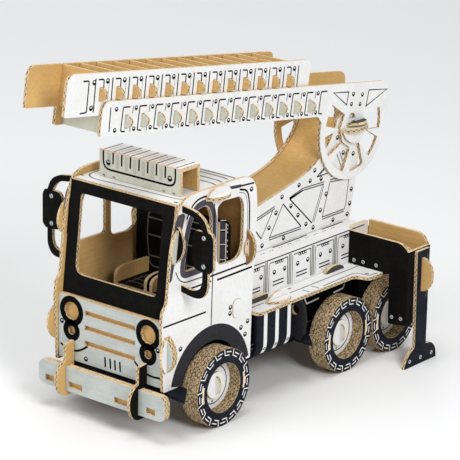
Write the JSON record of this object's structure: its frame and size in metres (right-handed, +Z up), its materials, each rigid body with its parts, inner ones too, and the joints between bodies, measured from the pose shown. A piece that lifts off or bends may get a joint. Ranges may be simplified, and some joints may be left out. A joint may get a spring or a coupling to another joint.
{
  "type": "card fire engine model kit",
  "caption": "Card fire engine model with a tilting, extending ladder on a fixed tower, an open cab, rolling wheels, lockers and outrigger legs.",
  "frame": {"origin": "middle of the footprint, on the ground under the wheels", "axes": "+Z up, the cab faces -Y, the truck's left side is +X"},
  "size_m": [0.1592, 0.2736, 0.2049],
  "materials": {
    "white_print": "matt white printed liner, kraft back and cut edges",
    "silver_print": "satin grey-silver printed liner",
    "black_print": "matt black printed liner, kraft back and cut edges",
    "kraft": "bare brown corrugated board",
    "dowel": "plain birch rod"
  },
  "bodies": {
    "truck": {"cab_side_left": "white_print", "cab_side_right": "white_print", "cab_roof": "white_print", "body_cover": "white_print", "running_board_left": "white_print", "running_board_right": "white_print", "tower_side_left": "white_print", "tower_side_right": "white_print", "grille_panel": "silver_print", "roof_light_box": "silver_print", "bumper_front_layer": "silver_print", "windscreen_frame": "black_print", "seat_back": "black_print", "seat_base": "black_print", "mirror_left": "black_print", "mirror_right": "black_print", "bumper_bracket_left": "black_print", "bumper_bracket_right": "black_print", "chassis_plate": "black_print", "tank_shell_left": "black_print", "tank_shell_right": "black_print", "tank_end_left": "black_print", "tank_end_right": "black_print", "outrigger_box_left": "black_print", "outrigger_box_right": "black_print", "outrigger_leg_left": "black_print", "outrigger_leg_right": "black_print", "grille_backing": "kraft", "cab_rear_wall": "kraft", "bumper_back_layer": "kraft", "chassis_rail_left": "black_print", "chassis_rail_right": "black_print", "tower_slide": "kraft", "ladder_pivot": "kraft", "outrigger_cross": "kraft"},
    "wheelset_front": {"axle_1": "dowel", "wheel_1_left": "black_print", "wheel_1_right": "black_print"},
    "wheelset_middle": {"axle_2": "dowel", "wheel_2_left": "black_print", "wheel_2_right": "black_print"},
    "wheelset_rear": {"axle_3": "dowel", "wheel_3_left": "black_print", "wheel_3_right": "black_print"},
    "lower_ladder": {"lower_rail_left": "white_print", "lower_rail_right": "white_print", "lower_rung_1": "silver_print", "lower_rung_4": "silver_print", "lower_rung_7": "silver_print", "lower_rung_10": "silver_print", "lower_rung_13": "silver_print"},
    "upper_ladder": {"upper_rail_left": "white_print", "upper_rail_right": "white_print", "upper_rung_1": "kraft", "upper_rung_3": "kraft", "upper_rung_6": "kraft", "upper_rung_8": "kraft", "upper_rung_11": "kraft", "upper_rung_13": "kraft"}
  },
  "joints": [
    {"name": "front_wheels_spin", "type": "hinge", "parent": "truck", "child": "wheelset_front", "pos_m": [0, -0.04816, 0.022], "axis": [1, 0, 0], "continuous": true},
    {"name": "middle_wheels_spin", "type": "hinge", "parent": "truck", "child": "wheelset_middle", "pos_m": [0, 0.06234, 0.022], "axis": [1, 0, 0], "continuous": true},
    {"name": "rear_wheels_spin", "type": "hinge", "parent": "truck", "child": "wheelset_rear", "pos_m": [0, 0.10774, 0.022], "axis": [1, 0, 0], "continuous": true},
    {"name": "ladder_raise", "type": "hinge", "parent": "truck", "child": "lower_ladder", "pos_m": [0, 0.10334, 0.1303], "axis": [-1, 0, 0], "range_deg": [-5, 55]},
    {"name": "ladder_extend", "type": "slide", "parent": "lower_ladder", "child": "upper_ladder", "axis": [0, -0.9895, 0.1444], "range_m": [-0.07, 0.09]}
  ]
}
